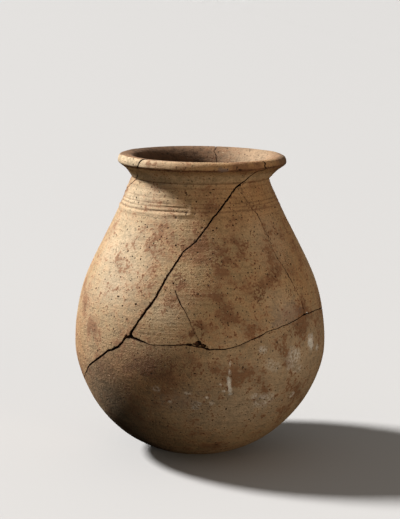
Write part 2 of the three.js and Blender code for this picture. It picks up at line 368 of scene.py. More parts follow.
def new_piece(name, bm, *materials):
    mesh = bpy.data.meshes.new(name)
    bm.to_mesh(mesh)
    bm.free()
    piece = bpy.data.objects.new(name, mesh)
    bpy.context.scene.collection.objects.link(piece)
    for material in materials:
        mesh.materials.append(material)
    return piece


def turned_pot(clay, broken_clay):
    """The whole pot, spun from its outline, worked by hand and settled."""
    bm = bmesh.new()
    rim = [bm.verts.new(point) for point in outline]
    edges = [bm.edges.new(pair) for pair in zip(rim, rim[1:])]
    bmesh.ops.spin(
        bm, geom=rim + edges, cent=(0, 0, 0), axis=(0, 0, 1), angle=math.tau, steps=SIDES, use_merge=True,
        use_duplicate=False,
    )
    bmesh.ops.remove_doubles(bm, verts=bm.verts, dist=0.01 * MM)
    bmesh.ops.recalc_face_normals(bm, faces=bm.faces)
    bm.normal_update()
    places = {}
    for vert in bm.verts:
        if is_inside(vert.co):
            relief = inner_relief(vert.co)
        else:
            relief = outer_relief(vert.co)
        places[vert] = settle(vert.co + vert.normal * relief * MM)
    for vert, place in places.items():
        vert.co = place
    for face in bm.faces:
        face.smooth = True
    return new_piece("thrown_bottle", bm, clay, broken_clay)


half_way = [outline_at(run_at(height)).x - WALL / 2 * MM for height in range(CREST[1] + 1)]


def is_inside(point):
    """Whether a point of the true pot is nearer to its inner wall than to its outer one."""
    reach = math.hypot(point.x, point.y)
    if point.z > LIP[1] * MM:
        return reach < CREST[0] * MM
    if point.z < FLOOR_THICKNESS / 2 * MM:
        return False
    return reach < half_way[round(point.z / MM)]


def join_path(stations):
    """Even, slightly jagged steps along a join: (place, way out, way across, width)."""
    ends = [(azimuth, run_at(height, *side), width) for azimuth, height, width, *side in stations]
    steps = []
    for end, next_end in zip(ends, ends[1:]):
        radius = outline_at((end[1] + next_end[1]) / 2).x
        length = math.hypot(math.radians(next_end[0] - end[0]) * radius, next_end[1] - end[1])
        count = max(1, round(length / (JOIN_STEP * MM)))
        for i in range(count):
            steps.append([low + (high - low) * i / count for low, high in zip(end, next_end)])
    steps.append(ends[-1])

    path = [wall_at(azimuth, run) for azimuth, run, _ in steps]
    sections = []
    for i, (place, out, _) in enumerate(path):
        onwards = path[min(i + 1, len(path) - 1)][0] - path[max(i - 1, 0)][0]
        across = onwards.cross(out).normalized()
        jag = 0.35 * uneven(place, 4.5, 5) + 0.3 * uneven(place, 1.7, 6)
        fade = min(1, i / JOIN_FADE_STEPS, (len(path) - 1 - i) / JOIN_FADE_STEPS)
        sections.append((place + across * jag * fade * MM, out, across, steps[i][2]))
    return sections


def join_cutter(join):
    """A slot with chipped shoulders that follows a join. It narrows towards its bottom."""
    bm = bmesh.new()
    end = None
    for place, out, across, gap in join_path(join["stations"]):
        width = gap * (1 + 0.3 * uneven(place, 9, 7) + 0.25 * uneven(place, 3, 8))
        half, narrow, depth = width / 2, width / 2 * JOIN_BOTTOM_SHARE, join["depth"]
        least = 0.12 * min(1, gap)
        chips = [least + 0.5 * width * max(0, uneven(place, 3.2, seed)) ** 1.5 for seed in (9, 10)]
        section = [
            (half + chips[0] + CUTTER_LIFT, CUTTER_LIFT), (half, -chips[0]), (narrow, -depth),
            (-narrow, -depth), (-half, -chips[1]), (-half - chips[1] - CUTTER_LIFT, CUTTER_LIFT),
        ]
        corners = [settle(place + (across * sideways + out * up) * MM) for sideways, up in section]
        if end is None:
            end = bm.faces.new([bm.verts.new(corner) for corner in corners])
        else:
            end = bmesh.ops.extrude_discrete_faces(bm, faces=[end])["faces"][0]
            for vert, corner in zip(end.verts, corners):
                vert.co = corner
    bmesh.ops.holes_fill(bm, edges=[edge for edge in bm.edges if edge.is_boundary])
    bmesh.ops.recalc_face_normals(bm, faces=bm.faces)
    return bm


def lump_cutter(lumps, rough):
    """Rough lumps sunk in the wall. Each is (azimuth, height, half width, half height, depth)."""
    bm = bmesh.new()
    for azimuth, height, half_width, half_height, depth in lumps:
        place, out, around = wall_at(azimuth, run_at(height))
        up = out.cross(around)
        fineness = 2 if depth > DEEP_LUMP else 1
        for vert in bmesh.ops.create_icosphere(bm, subdivisions=fineness, radius=1)["verts"]:
            swell = 1 + rough * noise.noise(vert.co * 1.7 + Vector((azimuth, height, 0)))
            offset = around * vert.co.x * half_width + up * vert.co.y * half_height + out * vert.co.z * depth
            vert.co = settle(place + offset * swell * MM)
    bmesh.ops.recalc_face_normals(bm, faces=bm.faces)
    return bm


def cut_away(piece, bm):
    """Takes the closed shapes of bm out of a piece. The opened faces get the piece's second material."""
    for face in bm.faces:
        face.material_index = 1
        face.smooth = True
    cutter = new_piece("cutter", bm, *piece.data.materials)
    cut = piece.modifiers.new("cut", "BOOLEAN")
    cut.object = cutter
    cut.operation = "DIFFERENCE"
    cut.solver = "MANIFOLD"
    with bpy.context.temp_override(object=piece, active_object=piece):
        bpy.ops.object.modifier_apply(modifier=cut.name)
    bpy.data.meshes.remove(cutter.data)


def scattered_pits():
    """The listed pits, and smaller ones strewn over the outside."""
    rolls = random.Random(STREWN_SEED)
    pits = [(*pit, MARKED_PIT_DEPTH) for pit in PITS]
    for _ in range(STREWN_PITS):
        size = rolls.uniform(*STREWN_SIZES)
        azimuth = rolls.uniform(-180, 180)
        height = rolls.uniform(*STREWN_HEIGHTS)
        length = size * rolls.uniform(*STREWN_LENGTHENING)
        pits.append((azimuth, height, length, size, STREWN_DEPTH))
    return pits


def belt_of_joins():
    """The joins that part the lower sherds from the upper ones, as (azimuth, height) once round the pot."""
    stations = JOINS["lower left"]["stations"][:0:-1] + JOINS["round the belly"]["stations"]
    return [station[:2] for station in stations]


def below_the_belt(place, belt):
    """1 on the lower sherds, 0 on the upper ones."""
    azimuth = azimuth_of(place)
    azimuth += 360 if azimuth < belt[0][0] else 0
    i = min(max(1, bisect.bisect(belt, (azimuth,))), len(belt) - 1)
    (start, low), (end, high) = belt[i - 1], belt[i]
    level = low + (high - low) * (azimuth - start) / (end - start)
    return float(place.z / MM < level)


def mark_the_wall(piece):
    """Stores how far each point is from a join, in millimetres, and if it is inside or on a lower sherd."""
    stations = [settle(step[0]) for join in JOINS.values() for step in join_path(join["stations"])]
    tree = kdtree.KDTree(len(stations))
    for i, station in enumerate(stations):
        tree.insert(station, i)
    tree.balance()
    belt = belt_of_joins()
    places = [vert.co for vert in piece.data.vertices]
    marks = {
        "from_join": [tree.find(place)[2] / MM for place in places],
        "inside": [float(is_inside(place)) for place in places],
        "lower_sherd": [below_the_belt(place, belt) for place in places],
    }
    for name, values in marks.items():
        piece.data.attributes.new(name, "FLOAT", "POINT").data.foreach_set("value", values)


def mended_bottle(clay, broken_clay):
    pot = turned_pot(clay, broken_clay)
    for join in JOINS.values():
        cut_away(pot, join_cutter(join))
    cut_away(pot, lump_cutter(CHIPS, CHIP_ROUGHNESS))
    cut_away(pot, lump_cutter(scattered_pits(), PIT_ROUGHNESS))
    pot.data.set_sharp_from_angle(angle=math.radians(SHARP_ANGLE))
    mark_the_wall(pot)
    return pot


# Finishes.

def paint(red, green, blue):
    """A colour as it looks on a screen, 0 to 255, as the linear values that a shader takes."""
    return (*(((channel / 255 + 0.055) / 1.055) ** 2.4 for channel in (red, green, blue)), 1)


class Recipe:
    """Adds nodes to one tree and wires them. Values may be numbers, colours or other nodes' outputs."""

    def __init__(self, tree):
        self.tree = tree

    def feed(self, socket, value):
        if isinstance(value, bpy.types.NodeSocket):
            self.tree.links.new(value, socket)
        else:
            socket.default_value = value

    def add(self, kind, values=(), out=0, **settings):
        """A new node's output. values go by the names of its inputs, or in the order of the enabled ones."""
        node = self.tree.nodes.new("ShaderNode" + kind)
        for name, value in settings.items():
            setattr(node, name, value)
        if isinstance(values, dict):
            for name, value in values.items():
                self.feed(node.inputs[name], value)
        else:
            for socket, value in zip([socket for socket in node.inputs if socket.enabled], values):
                self.feed(socket, value)
        outputs = [socket for socket in node.outputs if socket.enabled]
        return node.outputs[out] if isinstance(out, str) else outputs[out]

    def math(self, operation, *values, clamp=False):
        return self.add("Math", values, operation=operation, use_clamp=clamp)

    def ramp(self, value, low, high, start=0.0, end=1.0):
        """start where value is low, end where it is high, and smooth between."""
        inputs = {"Value": value, "From Min": low, "From Max": high, "To Min": start, "To Max": end}
        return self.add("MapRange", inputs, interpolation_type="SMOOTHSTEP")

    def wave(self, vector, size, detail=4.0, roughness=0.55):
        """Noise about 0, mostly from -0.5 to 0.5, with features of about that size in millimetres."""
        inputs = {"Vector": vector, "Scale": 1 / (size * MM), "Detail": detail, "Roughness": roughness}
        return self.math("MULTIPLY_ADD", self.add("TexNoise", inputs), 2.6, -1.3)

    def sum(self, *terms):
        """Adds values. A term is a value, or a value and the share of it to add."""
        total = 0.0
        for term in terms:
            value, share = term if isinstance(term, tuple) else (term, 1.0)
            total = self.math("MULTIPLY_ADD", value, share, total)
        return total

    def stretched(self, vector, scale, turn=(0, 0, 0)):
        inputs = {"Vector": vector, "Scale": scale, "Rotation": [math.radians(angle) for angle in turn]}
        return self.add("Mapping", inputs, vector_type="TEXTURE" if any(turn) else "POINT")

    def mix(self, factor, under, over):
        return self.add("Mix", (factor, under, over), data_type="RGBA")

    def most(self, masks):
        """The largest of some values."""
        total = masks[0]
        for mask in masks[1:]:
            total = self.math("MAXIMUM", total, mask)
        return total

    def group(self, group, values):
        node = self.tree.nodes.new("ShaderNodeGroup")
        node.node_tree = group
        for name, value in values.items():
            self.feed(node.inputs[name], value)
        return node.outputs[0]


def new_group(name, inputs, outputs):
    """An empty shader group with float inputs, "Vector" apart, and float outputs."""
    group = bpy.data.node_groups.new(name, "ShaderNodeTree")
    for title, default in inputs.items():
        kind = "NodeSocketVector" if title == "Vector" else "NodeSocketFloat"
        socket = group.interface.new_socket(title, in_out="INPUT", socket_type=kind)
        if kind == "NodeSocketFloat":
            socket.default_value = default
    for title in outputs:
        group.interface.new_socket(title, in_out="OUTPUT", socket_type="NodeSocketFloat")
    recipe = Recipe(group)
    given = group.nodes.new("NodeGroupInput").outputs
    result = group.nodes.new("NodeGroupOutput").inputs
    return group, recipe, given, result


def place_on_the_wall():
    """Turns a point into its azimuth in degrees, its distance from the axis and its height in millimetres."""
    outputs = ("Azimuth", "Reach", "Height")
    group, recipe, given, result = new_group("place on the wall", {"Vector": None}, outputs)
    x = recipe.add("SeparateXYZ", (given["Vector"],), out="X")
    xyz = x.node.outputs
    backwards = recipe.math("MULTIPLY", xyz["Y"], -1.0)
    azimuth = recipe.math("DEGREES", recipe.math("ARCTAN2", x, backwards))
    squares = recipe.math("MULTIPLY_ADD", x, x, recipe.math("MULTIPLY", xyz["Y"], xyz["Y"]))
    recipe.tree.links.new(azimuth, result["Azimuth"])
    recipe.tree.links.new(recipe.math("DIVIDE", recipe.math("SQRT", squares), MM), result["Reach"])
    recipe.tree.links.new(recipe.math("DIVIDE", xyz["Z"], MM), result["Height"])
    return group


def patch_on_the_wall():
    """A mask that is 1 in a ragged patch round a place on the wall. Ragged is noise that frays its edge."""
    inputs = {
        "Azimuth": 0, "Reach": 90, "Height": 0, "Ragged": 0, "At azimuth": 0, "At height": 100,
        "Half width": 10, "Half height": 10, "Tilt": 0, "Softness": 0.3,
    }
    group, recipe, given, result = new_group("patch on the wall", inputs, ("Mask",))
    turn = recipe.math("SUBTRACT", given["Azimuth"], given["At azimuth"])
    turn = recipe.math("RADIANS", recipe.math("WRAP", turn, 180.0, -180.0))
    across = recipe.math("MULTIPLY", turn, given["Reach"])
    up = recipe.math("SUBTRACT", given["Height"], given["At height"])
    tilt = recipe.math("RADIANS", given["Tilt"])
    cosine, sine = recipe.math("COSINE", tilt), recipe.math("SINE", tilt)
    along = recipe.math("MULTIPLY_ADD", across, cosine, recipe.math("MULTIPLY", up, sine))
    sideways = recipe.math("MULTIPLY", across, sine)
    aside = recipe.math("SUBTRACT", recipe.math("MULTIPLY", up, cosine), sideways)
    along = recipe.math("DIVIDE", along, given["Half width"])
    aside = recipe.math("DIVIDE", aside, given["Half height"])
    squares = recipe.math("MULTIPLY_ADD", along, along, recipe.math("MULTIPLY", aside, aside))
    frayed = recipe.math("ADD", recipe.math("SQRT", squares), given["Ragged"])
    edge = recipe.math("ADD", given["Softness"], 1.0)
    mask = recipe.ramp(frayed, edge, recipe.math("SUBTRACT", 1.0, given["Softness"]))
    recipe.tree.links.new(mask, result["Mask"])
    return group


# How far dots are pulled out of round, and the size of the noise that does it, in millimetres.
SPECK_WOBBLE, SPECK_RIPPLE = 0.5, 0.8


def specks_in_the_clay():
    """A mask of scattered dots. Spacing is in millimetres, Share is how many of the cells hold a dot, and
    Fill how much of its cell a dot takes up."""
    inputs = {"Vector": None, "Spacing": 2, "Share": 0.3, "Fill": 0.35}
    group, recipe, given, result = new_group("specks in the clay", inputs, ("Mask",))
    ripple = {"Vector": given["Vector"], "Scale": 1 / (SPECK_RIPPLE * MM), "Detail": 1}
    wobble = recipe.add("TexNoise", ripple, out="Color")
    wobble = recipe.add("VectorMath", (wobble, (0.5, 0.5, 0.5)), operation="SUBTRACT")
    wobble = recipe.add("VectorMath", {"Vector": wobble, "Scale": SPECK_WOBBLE * MM}, operation="SCALE")
    place = recipe.add("VectorMath", (given["Vector"], wobble), operation="ADD")
    scale = recipe.math("DIVIDE", 1 / MM, given["Spacing"])
    distance = recipe.add("TexVoronoi", {"Vector": place, "Scale": scale}, out="Distance")
    lot = recipe.add("SeparateColor", (distance.node.outputs["Color"],), out="Red")
    size = recipe.add("SeparateColor", (distance.node.outputs["Color"],), out="Green")
    fill = recipe.math("MULTIPLY", given["Fill"], recipe.math("MULTIPLY_ADD", size, 0.8, 0.5))
    dot = recipe.ramp(distance, fill, recipe.math("MULTIPLY", fill, 0.55))
    chosen = recipe.math("LESS_THAN", lot, given["Share"])
    recipe.tree.links.new(recipe.math("MULTIPLY", dot, chosen), result["Mask"])
    return group


# The tables down to FRESH_CHIPS are patches on the wall, but for the rings that go right round: (azimuth,
# height, half width, half height, tilt, strength), in degrees and millimetres.
# Crusts of salt.
SALT = [
    (58.8, 97.5, 5.4, 6.0, 35, 1.0), (65.8, 90.5, 2.6, 3.0, 0, 0.7), (46, 90.6, 7.5, 7, 20, 0.6),
    (43.8, 87.3, 5, 8, 0, 0.45), (48.3, 80.5, 7, 4, 0, 0.42), (27.9, 99.5, 3.6, 3, 0, 0.55),
    (33.1, 86.8, 8, 4, -20, 0.35), (12.9, 92.1, 1.2, 3.2, 0, 0.55), (12.7, 85.7, 1.4, 2.6, 0, 0.6),
    (12.8, 74.9, 2.0, 6.2, 8, 1.0), (8.9, 75.9, 1.3, 1.2, 0, 0.5), (10.6, 70.6, 1.6, 1.0, 0, 0.7),
    (2.9, 65.7, 2.8, 1.5, 0, 0.75), (5.3, 61, 2.4, 2, 0, 0.4), (31.5, 59.5, 8.5, 6, 10, 0.55),
    (25.3, 64, 3.6, 2.4, 0, 0.55), (32.4, 56.7, 3, 1.6, 0, 0.6), (49.8, 58.4, 2.6, 2.2, 20, 0.7),
    (-19.7, 71.2, 3.6, 2.4, 0, 0.35), (-5.5, 69, 2.6, 1.4, -10, 0.45), (-2.1, 56.8, 2.8, 1.4, 0, 0.65),
    (-1.5, 60.5, 3.4, 2.2, 0, 0.45), (-14, 61.7, 2.4, 1.6, 0, 0.45), (58.2, 119.6, 1.2, 0.9, 0, 1.0),
    (118, 78, 10, 6, -15, 0.5), (-135, 62, 12, 5, 10, 0.45), (170, 92, 5, 8, 0, 0.55),
    (-160, 40, 9, 5, 20, 0.5),
]
# Where brown stains gather, and, at the right end of the lip, painted shade.
STAINS_AND_LIP_SHADE = [
    (29.5, 140.8, 7, 9, -30, 0.8), (40, 150.7, 9, 6, 25, 0.8), (48.8, 109.9, 16, 6, 12, 0.6),
    (-0.8, 117.1, 5, 9, 20, 0.8), (8, 139.8, 8, 6, 0, 0.4), (16, 82.7, 12, 6, 0, 0.4),
    (57.2, 128.2, 3, 9, 0, 0.6), (-10.8, 149.7, 6, 7, 20, 0.8), (-28.3, 87.7, 4, 3, 0, 0.5),
    (-11.3, 175.7, 9, 6, -30, 0.5), (1.7, 161.4, 4, 4, 0, 0.65), (-39.4, 179.2, 5, 9, -20, 0.5),
    (67.7, 185.1, 6, 16, 20, 0.35), (43.5, 199, 14, 4, 0, 0.5), (28.2, 62, 10, 6, 0, 0.45),
    (-57.9, 106, 12, 8, 0, 0.35), (53.4, 122.8, 2.4, 2.4, 0, 1.0), (-3.3, 113.7, 2.8, 2.8, 0, 0.9),
    # The first row below is painted shade at the right end of the lip.
    (86, 232, 24, 5, 0, 1.0), (-20, 88, 24, 10, 0, 0.8), (-3, 88, 22, 8, 0, 0.5),
    (-27, 174, 8, 10, 30, 0.5), (-50, 146, 10, 14, 20, 0.4), (14, 126, 10, 8, 0, 0.5),
    (24, 173, 10, 8, 0, 0.5), (12, 167, 12, 12, 0, 0.55), (22, 199, 30, 12, 0, 0.15),
    (180, 234, 60, 3, 0, 0.7), (130, 120, 16, 12, 20, 0.6), (-120, 150, 14, 18, -20, 0.6),
    (175, 160, 18, 10, 0, 0.5), (-170, 80, 14, 12, 0, 0.6), (95, 170, 12, 10, 0, 0.5),
]
# Where the slip is palest.
CREAM = [
    (-46, 160, 26, 32, 25, 0.75), (-52, 205, 26, 10, 0, 0.7), (-30, 196, 30, 6, 0, 0.5),
    (-16, 128, 14, 10, 0, 0.5), (105, 140, 40, 34, 0, 0.7), (0, 221.5, 90, 4.5, 0, 1.0),
    (-58, 233, 50, 7, 0, 0.8),
]
# Where dirt greys the clay, and, at the right end of the lip, painted shade.
GREY_DIRT_AND_LIP_SHADE = [
    (-37, 43, 40, 22, -30, 0.75), (-6, 66, 34, 16, 0, 0.5), (-43, 53, 20, 12, 0, 0.5),
    # The last row below is painted shade at the right end of the lip.
    (150, 40, 50, 20, 0, 0.6), (86, 231.5, 26, 6, 0, 1.0),
]
# Where a pale greyish bloom lies over the clay.
BLOOM = [
    (46, 80, 52, 34, 0, 0.75), (20, 57, 46, 20, 0, 0.95), (-50, 140, 16, 10, 0, 0.3),
    (46, 172, 18, 20, 0, 0.35), (42, 128, 20, 14, 0, 0.35),
]
# Where the clay is ochre.
OCHRE = [
    (28, 230, 56, 5, 0, 0.5), (38, 200, 40, 16, 0, 0.6), (62, 165, 34, 34, 0, 0.4),
    (-74, 80, 20, 28, 0, 0.5), (-30, 80, 34, 16, 0, 0.5),
]
# Where a mauve haze lies over the clay.
HAZE = [
    (44, 123, 14, 7, 8, 0.5), (38, 117, 8, 3, 12, 0.6), (16, 229.2, 4, 1.6, 0, 0.9),
    (-8, 62, 16, 7, 0, 0.35),
]
# Where the clay is worn rough, and where it was wiped in slanting strokes.
ROUGH = [(-56, 84, 46, 34, -25, 1.0), (-20, 90, 30, 16, 0, 0.8), (180, 70, 60, 30, 0, 0.8)]
WIPED = [(54, 158, 9, 8, 0, 1.0), (46, 153, 10, 3, -20, 0.7), (-100, 170, 16, 12, 0, 0.8)]
# Painted shade along the lip's lower edge in the first row, then darker colour in the turned grooves:
# (height, half height, strength), right round.
LIP_SHADE_AND_GROOVES = [
    (228.6, 0.8, 0.85), (217.7, 0.5, 0.35), (214.0, 0.4, 0.25), (207.2, 0.4, 0.25), (203.2, 0.4, 0.4),
    (200.7, 0.4, 0.4), (197.8, 0.6, 0.45), (193.2, 0.5, 0.2),
]
# Inside: where the clay is darker, towards the back left of the neck and at the back, and where it was wiped
# pale.
DARKER_INSIDE = [(-135, 220, 50, 26, 0, 0.85), (180, 200, 60, 22, 0, 0.6)]
WIPED_INSIDE = [(125, 228, 26, 12, 0, 0.3)]
# Where the break is fresh.
FRESH_CHIPS = [(-2.6, 108.0, 1.3, 1.1, 0, 1.0), (26.8, 109.6, 2, 2, 0, 0.6), (158, 107, 3, 3, 0, 0.8)]

# The half width in millimetres of a patch that goes right round.
RIGHT_ROUND = 500

# Grit: (spacing in millimetres, share of the cells that hold a grain, how much of its cell a grain fills).
FINE_GRIT = (2.2, 0.42, 0.27)
COARSE_GRIT = (6.0, 0.5, 0.15)
PALE_GRIT = (3.6, 0.3, 0.18)
BROKEN_GRIT = (1.8, 0.3, 0.3)

SPECULAR = 0.2

PALE_SLIP = paint(206, 184, 152)
BUFF = paint(182, 154, 117)
WARM_BUFF = paint(172, 135, 100)
BLOOM_GREY = paint(196, 176, 150)
OCHRE_CLAY = paint(176, 130, 84)
ROSY_BROWN = paint(134, 98, 71)
RUSTY_BROWN = paint(108, 74, 52)
# The grey of dirt, also used as painted shade at the right end of the lip.
GREY_DIRT_AND_SHADE = paint(112, 94, 73)
MAUVE_DUST = paint(148, 130, 122)
SALT_WHITE = paint(232, 230, 224)
GRIT_DARK = paint(54, 39, 28)
INNER_CLAY = paint(148, 116, 88)
# The darker colour inside the neck, towards its back left and at the back.
DARKER_INNER_CLAY = paint(62, 42, 29)
# Dark broken clay: dirt, and painted shade for the depth of the cracks.
DIRTY_AND_SHADED_BREAK = paint(58, 39, 26)
FRESH_BREAK = paint(158, 104, 74)


def shader_of(name):
    """A new material, its recipe and its Principled shader's inputs."""
    material = bpy.data.materials.new(name)
    material.use_nodes = True
    return material, Recipe(material.node_tree), material.node_tree.nodes["Principled BSDF"].inputs


def patches(recipe, groups, point, frayed, rows, softness):
    """The strongest of these patches at a point of the wall."""
    place = recipe.group(groups["place"], {"Vector": point}).node.outputs
    shared = {name: place[name] for name in ("Azimuth", "Reach", "Height")}
    masks = []
    for azimuth, height, half_width, half_height, tilt, strength in rows:
        own = {
            "At azimuth": azimuth, "At height": height, "Half width": half_width,
            "Half height": half_height, "Tilt": tilt, "Softness": softness, "Ragged": frayed,
        }
        mask = recipe.group(groups["patch"], {**shared, **own})
        masks.append(recipe.math("MULTIPLY", mask, strength))
    return recipe.most(masks)


def specks(recipe, groups, point, spacing, share, fill):
    return recipe.group(groups["specks"], {"Vector": point, "Spacing": spacing, "Share": share, "Fill": fill})


def finish_surface(recipe, shader, colour, height, depth):
    """Wires a colour, and a fine relief that is depth deep where height is 1."""
    recipe.tree.links.new(colour, shader["Base Color"])
    bump = recipe.add("Bump", {"Strength": 1.0, "Distance": depth, "Height": height})
    recipe.tree.links.new(bump, shader["Normal"])
    shader["Specular IOR Level"].default_value = SPECULAR


class Weathering:
    """The noises of the fired clay, and patches whose edges they fray."""

    def __init__(self, recipe, groups, point):
        self.recipe = recipe
        self.groups = groups
        self.point = point
        self.broad = recipe.wave(point, 60, detail=2)
        self.cloud = recipe.wave(point, 21, detail=4, roughness=0.6)
        self.blotch = recipe.wave(point, 6.5, detail=4, roughness=0.65)
        self.fine = recipe.wave(point, 1.9, detail=3, roughness=0.6)
        self.grain = recipe.wave(point, 0.9, detail=2)
        level = recipe.stretched(point, (0.05, 0.05, 1))
        self.turning = recipe.wave(level, 1.7, detail=4, roughness=0.6)
        slanted = recipe.stretched(point, (1, 1, 0.22), turn=(0, 38, 0))
        self.scuffs = recipe.wave(slanted, 1.1, detail=3)
        self.ragged = recipe.math("MULTIPLY_ADD", self.fine, 0.7, recipe.math("MULTIPLY", self.blotch, 1.1))
        self.frayed = recipe.math("MULTIPLY", self.ragged, 0.4)

    def crisp(self, rows, softness):
        """Patches with ragged edges."""
        return patches(self.recipe, self.groups, self.point, self.ragged, rows, softness)

    def soft(self, rows, softness=0.8):
        """Patches with edges that are only a little frayed."""
        return patches(self.recipe, self.groups, self.point, self.frayed, rows, softness)


def slip(recipe, wear):
    """The slip and the colours the firing gave it, and how much cream lies on it."""
    faint = recipe.ramp(wear.broad, -0.1, 0.6, 0.0, 0.4)
    cream = recipe.math("ADD", wear.soft(CREAM, 0.7), faint, clamp=True)
    colour = recipe.mix(recipe.ramp(recipe.sum(wear.cloud, (wear.blotch, 0.7)), -0.4, 0.4), BUFF, WARM_BUFF)
    colour = recipe.mix(recipe.math("MULTIPLY", cream, 0.8), colour, PALE_SLIP)
    colour = recipe.mix(wear.soft(OCHRE), colour, OCHRE_CLAY)
    colour = recipe.mix(wear.soft(BLOOM), colour, BLOOM_GREY)
    return colour, cream


def mottled(recipe, wear, colour, cream):
    """Mottling, which breaks up into small specks at its edges, with painted shade at the right end of the
    lip and along its lower edge, and darker colour in the turned grooves.
    """
    # The stain patches hold painted shade at the right end of the lip.
    stained_and_shaded = wear.crisp(STAINS_AND_LIP_SHADE, 0.6)
    mottle = recipe.sum(
        (wear.cloud, 1.4), (wear.blotch, 1.1), (wear.fine, 1.0), (cream, -0.25), (stained_and_shaded, 0.7))
    colour = recipe.mix(recipe.ramp(mottle, 0.15, 0.65, 0.0, 0.9), colour, ROSY_BROWN)
    freckles = recipe.sum(
        (wear.cloud, -0.7), (wear.blotch, 1.0), (wear.fine, 1.9), (cream, -0.2), (stained_and_shaded, 0.75))
    colour = recipe.mix(recipe.ramp(freckles, 0.5, 0.95, 0.0, 0.8), colour, RUSTY_BROWN)
    colour = recipe.mix(recipe.ramp(wear.turning, 0.05, 0.6, 0.0, 0.3), colour, RUSTY_BROWN)
    # The first ring is painted shade along the lip's lower edge; the others darken the turned grooves.
    right_round = [(0, height, RIGHT_ROUND, half, 0, strength) for height, half, strength in LIP_SHADE_AND_GROOVES]
    return recipe.mix(wear.crisp(right_round, 0.6), colour, RUSTY_BROWN)


def soiled_below_and_lip_shade(recipe, wear, colour, lower_sherd):
    """The lower sherds are rougher and dirtier, grey dirt lies in patches, and the right end of the lip gets
    painted shade. Gives the colour and how rough the clay is.
    """
    share = recipe.math("MULTIPLY_ADD", lower_sherd, 0.6, 0.4)
    rough = recipe.math("MULTIPLY", wear.soft(ROUGH), share)
    colour = recipe.mix(recipe.math("MULTIPLY", rough, 0.3), colour, RUSTY_BROWN)
    flecks = recipe.math("MULTIPLY", recipe.ramp(wear.scuffs, 0.3, 0.7), rough)
    colour = recipe.mix(recipe.math("MULTIPLY", flecks, 0.5), colour, PALE_SLIP)
    # Grey dirt patches, and painted shade at the right end of the lip.
    colour = recipe.mix(recipe.math("MULTIPLY", wear.soft(GREY_DIRT_AND_LIP_SHADE), 0.6), colour, GREY_DIRT_AND_SHADE)
    colour = recipe.mix(recipe.math("MULTIPLY", lower_sherd, 0.16), colour, GREY_DIRT_AND_SHADE)
    colour = recipe.mix(recipe.math("MULTIPLY", wear.crisp(HAZE, 0.6), 0.8), colour, MAUVE_DUST)
    return colour, rough


def bare_inside(recipe, wear):
    """Inside, the clay is bare, and speckled all over."""
    speckled = recipe.ramp(recipe.sum(wear.blotch, (wear.fine, 1.4)), 0.1, 0.7, 0.0, 0.8)
    colour = recipe.mix(speckled, INNER_CLAY, RUSTY_BROWN)
    # Darker inside towards the back left of the neck and at the back.
    colour = recipe.mix(wear.soft(DARKER_INSIDE), colour, DARKER_INNER_CLAY)
    return recipe.mix(wear.soft(WIPED_INSIDE), colour, PALE_SLIP)


def gritty(recipe, wear, colour):
    """Grit and voids are dotted all over. Gives the colour and the mask of the dark ones."""
    grit = recipe.most([
        specks(recipe, wear.groups, wear.point, *FINE_GRIT),
        specks(recipe, wear.groups, wear.point, *COARSE_GRIT),
    ])
    pale_grit = specks(recipe, wear.groups, wear.point, *PALE_GRIT)
    colour = recipe.mix(recipe.math("MULTIPLY", grit, 0.8), colour, GRIT_DARK)
    return recipe.mix(recipe.math("MULTIPLY", pale_grit, 0.5), colour, PALE_SLIP), grit


def salted(recipe, wear, colour):
    """Salt has crept out in crusts, solid in their middles. Gives the colour and their mask."""
    salt = wear.crisp(SALT, 0.4)
    crusted = recipe.ramp(recipe.sum((wear.fine, 1.2), (wear.blotch, 0.5)), -0.3, 0.25, 0.12)
    solid = recipe.ramp(salt, 0.7, 1.0, 0.0, 0.9)
    crust = recipe.math("MAXIMUM", recipe.math("MULTIPLY", salt, crusted), solid)
    return recipe.mix(crust, colour, SALT_WHITE), crust


def marks_in_the_clay(recipe, wear, rough, grit, crust):
    """The height of the fine marks, in millimetres."""
    wiped = recipe.math("MULTIPLY", wear.crisp(WIPED, 0.7), wear.scuffs)
    torn = recipe.math("MULTIPLY", rough, recipe.sum(wear.scuffs, (wear.fine, 0.7)))
    return recipe.sum(
        (wear.grain, 0.06), (wear.fine, 0.15), (wear.blotch, 0.16), (wear.turning, 0.14),
        (grit, -0.3), (crust, 0.15), (wiped, 0.3), (torn, 0.3))


def fired_clay(groups):
    """The outside and inside of the pot: slip, mottling, stains, salt, grit, and the marks of its making."""
    material, recipe, shader = shader_of("fired clay")
    point = recipe.add("TexCoord", out="Object")
    from_join = recipe.add("Attribute", attribute_name="from_join", out="Fac")
    inside = recipe.add("Attribute", attribute_name="inside", out="Fac")
    lower_sherd = recipe.add("Attribute", attribute_name="lower_sherd", out="Fac")
    wear = Weathering(recipe, groups, point)

    colour, cream = slip(recipe, wear)
    colour = mottled(recipe, wear, colour, cream)
    colour, rough = soiled_below_and_lip_shade(recipe, wear, colour, lower_sherd)
    colour = recipe.mix(inside, colour, bare_inside(recipe, wear))

    # Dirt lies along the joins.
    near_join = recipe.ramp(recipe.sum(from_join, (wear.ragged, 0.9)), 1.5, 0.2, 0.0, 0.25)
    colour = recipe.mix(near_join, colour, RUSTY_BROWN)
    colour, grit = gritty(recipe, wear, colour)
    colour, crust = salted(recipe, wear, colour)

    mixed = recipe.sum((wear.grain, 0.35), (wear.fine, 0.6), (wear.blotch, 0.7))
    shade = recipe.ramp(mixed, -0.7, 0.7, 0.62, 1.34)
    colour = recipe.add("VectorMath", {0: colour, "Scale": shade}, operation="SCALE")
    height = marks_in_the_clay(recipe, wear, rough, grit, crust)
    finish_surface(recipe, shader, colour, height, MM)
    recipe.tree.links.new(recipe.ramp(wear.cloud, -0.4, 0.4, 0.95, 0.84), shader["Roughness"])
    return material


